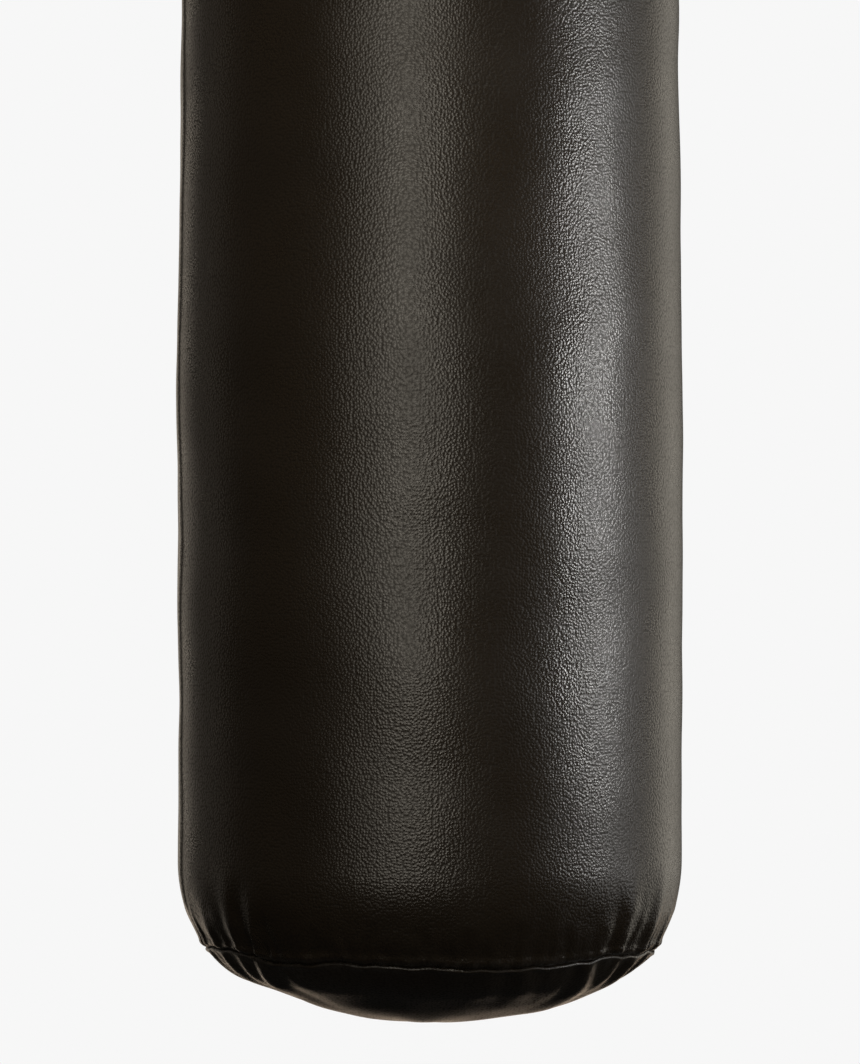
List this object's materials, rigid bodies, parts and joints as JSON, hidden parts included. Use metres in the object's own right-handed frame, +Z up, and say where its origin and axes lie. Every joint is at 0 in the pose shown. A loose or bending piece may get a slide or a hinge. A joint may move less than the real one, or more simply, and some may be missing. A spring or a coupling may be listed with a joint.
{
  "type": "hanging punching bag",
  "caption": "Leather heavy bag with a domed base, hung by chains, ring and carabiner from a ball-bearing ceiling swivel.",
  "frame": {"origin": "centre of the ceiling plate's top face, which meets the ceiling, joist or stand arm", "axes": "+Z up; +X along the zip on the bag's top; the bag hangs below the origin along -Z"},
  "size_m": [0.35, 0.35, 1.611],
  "materials": {
    "ceiling_steel": "satin",
    "bearing_steel": "polished",
    "cage_brass": "satin",
    "zinc_steel": "satin",
    "bright_steel": "polished",
    "chain_steel": "satin",
    "spring_steel": "satin",
    "leather": "satin",
    "rivet_metal": "satin",
    "zip_tape": "matte",
    "zip_metal": "satin",
    "liner_fabric": "matte",
    "foam": "matte",
    "textile": "matte",
    "core_plastic": "matte"
  },
  "bodies": {
    "ceiling_mount": {"ceiling_plate": "ceiling_steel", "yoke": "ceiling_steel", "lower_race": "bearing_steel"},
    "swivel": {"eye_stem": "zinc_steel", "upper_race": "bearing_steel", "thrust_washer": "bearing_steel", "castle_nut": "zinc_steel", "cotter_pin": "zinc_steel"},
    "ball_cage_body": {"ball_cage": "cage_brass", "bearing_balls": "bearing_steel"},
    "carabiner": {"carabiner_body": "bright_steel", "carabiner_pin": "bright_steel"},
    "carabiner_gate_body": {"carabiner_gate": "bright_steel", "carabiner_spring": "spring_steel"},
    "bag": {"master_ring": "bright_steel", "hook_pins": "bright_steel", "tab_rivets": "rivet_metal", "wall_leather": "leather", "base_panel": "leather", "top_panel": "leather", "zip_tapes": "zip_tape", "zip_teeth": "zip_metal", "zip_stops": "zip_metal", "liner": "liner_fabric", "foam_wrap": "foam", "base_foam": "foam", "top_foam": "foam", "textile_fill": "textile", "sand_core": "core_plastic", "chain_1": "chain_steel", "hook_body_1": "bright_steel", "d_ring_1": "bright_steel", "hanging_tab_1": "leather", "chain_2": "chain_steel", "hook_body_2": "bright_steel", "d_ring_2": "bright_steel", "hanging_tab_2": "leather", "chain_3": "chain_steel", "hook_body_3": "bright_steel", "d_ring_3": "bright_steel", "hanging_tab_3": "leather", "chain_4": "chain_steel", "hook_body_4": "bright_steel", "d_ring_4": "bright_steel", "hanging_tab_4": "leather"},
    "zip_slider_body": {"zip_slider": "zip_metal"},
    "zip_pull_body": {"zip_pull": "zip_metal"},
    "hook_gate_body_1": {"hook_gate_1": "bright_steel", "hook_spring_1": "spring_steel"},
    "hook_gate_body_2": {"hook_gate_2": "bright_steel", "hook_spring_2": "spring_steel"},
    "hook_gate_body_3": {"hook_gate_3": "bright_steel", "hook_spring_3": "spring_steel"},
    "hook_gate_body_4": {"hook_gate_4": "bright_steel", "hook_spring_4": "spring_steel"}
  },
  "joints": [
    {"name": "swivel_turn", "type": "hinge", "parent": "ceiling_mount", "child": "swivel", "pos_m": [0, 0, -0.062], "axis": [0, 0, 1], "continuous": true},
    {"name": "cage_turn", "type": "hinge", "parent": "ceiling_mount", "child": "ball_cage_body", "pos_m": [0, 0, -0.0575], "axis": [0, 0, 1], "continuous": true},
    {"name": "swing_sideways", "type": "hinge", "parent": "swivel", "child": "carabiner", "pos_m": [0, 0, -0.1012], "axis": [0, 1, 0], "range_deg": [-45, 45]},
    {"name": "swing_forward", "type": "hinge", "parent": "carabiner", "child": "bag", "pos_m": [0, 0, -0.1754], "axis": [1, 0, 0], "range_deg": [-45, 45]},
    {"name": "carabiner_gate_press", "type": "hinge", "parent": "carabiner", "child": "carabiner_gate_body", "pos_m": [0, 0.017, -0.1622], "axis": [1, 0, 0], "range_deg": [0, 25], "stiffness_Nm_per_rad": 0.4, "springref_deg": -17.19},
    {"name": "hook_gate_press_1", "type": "hinge", "parent": "bag", "child": "hook_gate_body_1", "pos_m": [0.10254, -0.10206, -0.5007], "axis": [-0.7105, -0.7036, 0.01], "range_deg": [0, 22], "stiffness_Nm_per_rad": 0.15, "springref_deg": -17.19},
    {"name": "hook_gate_press_2", "type": "hinge", "parent": "bag", "child": "hook_gate_body_2", "pos_m": [0.10338, 0.10216, -0.50062], "axis": [0.7151, -0.6985, -0.0255], "range_deg": [0, 22], "stiffness_Nm_per_rad": 0.15, "springref_deg": -17.19},
    {"name": "hook_gate_press_3", "type": "hinge", "parent": "bag", "child": "hook_gate_body_3", "pos_m": [-0.10254, 0.10206, -0.5007], "axis": [0.7105, 0.7036, 0.01], "range_deg": [0, 22], "stiffness_Nm_per_rad": 0.15, "springref_deg": -17.19},
    {"name": "hook_gate_press_4", "type": "hinge", "parent": "bag", "child": "hook_gate_body_4", "pos_m": [-0.10338, -0.10216, -0.50062], "axis": [-0.7151, 0.6985, -0.0255], "range_deg": [0, 22], "stiffness_Nm_per_rad": 0.15, "springref_deg": -17.19},
    {"name": "zip_run", "type": "slide", "parent": "bag", "child": "zip_slider_body", "axis": [1, 0, 0], "range_m": [-0.233, 0]},
    {"name": "zip_pull_turn", "type": "hinge", "parent": "zip_slider_body", "child": "zip_pull_body", "pos_m": [0.117, 0, -0.55645], "axis": [0, 1, 0], "range_deg": [0, 170]}
  ],
  "couplings": [
    {"joint": "cage_turn", "follows": "swivel_turn", "ratio": 0.5}
  ]
}
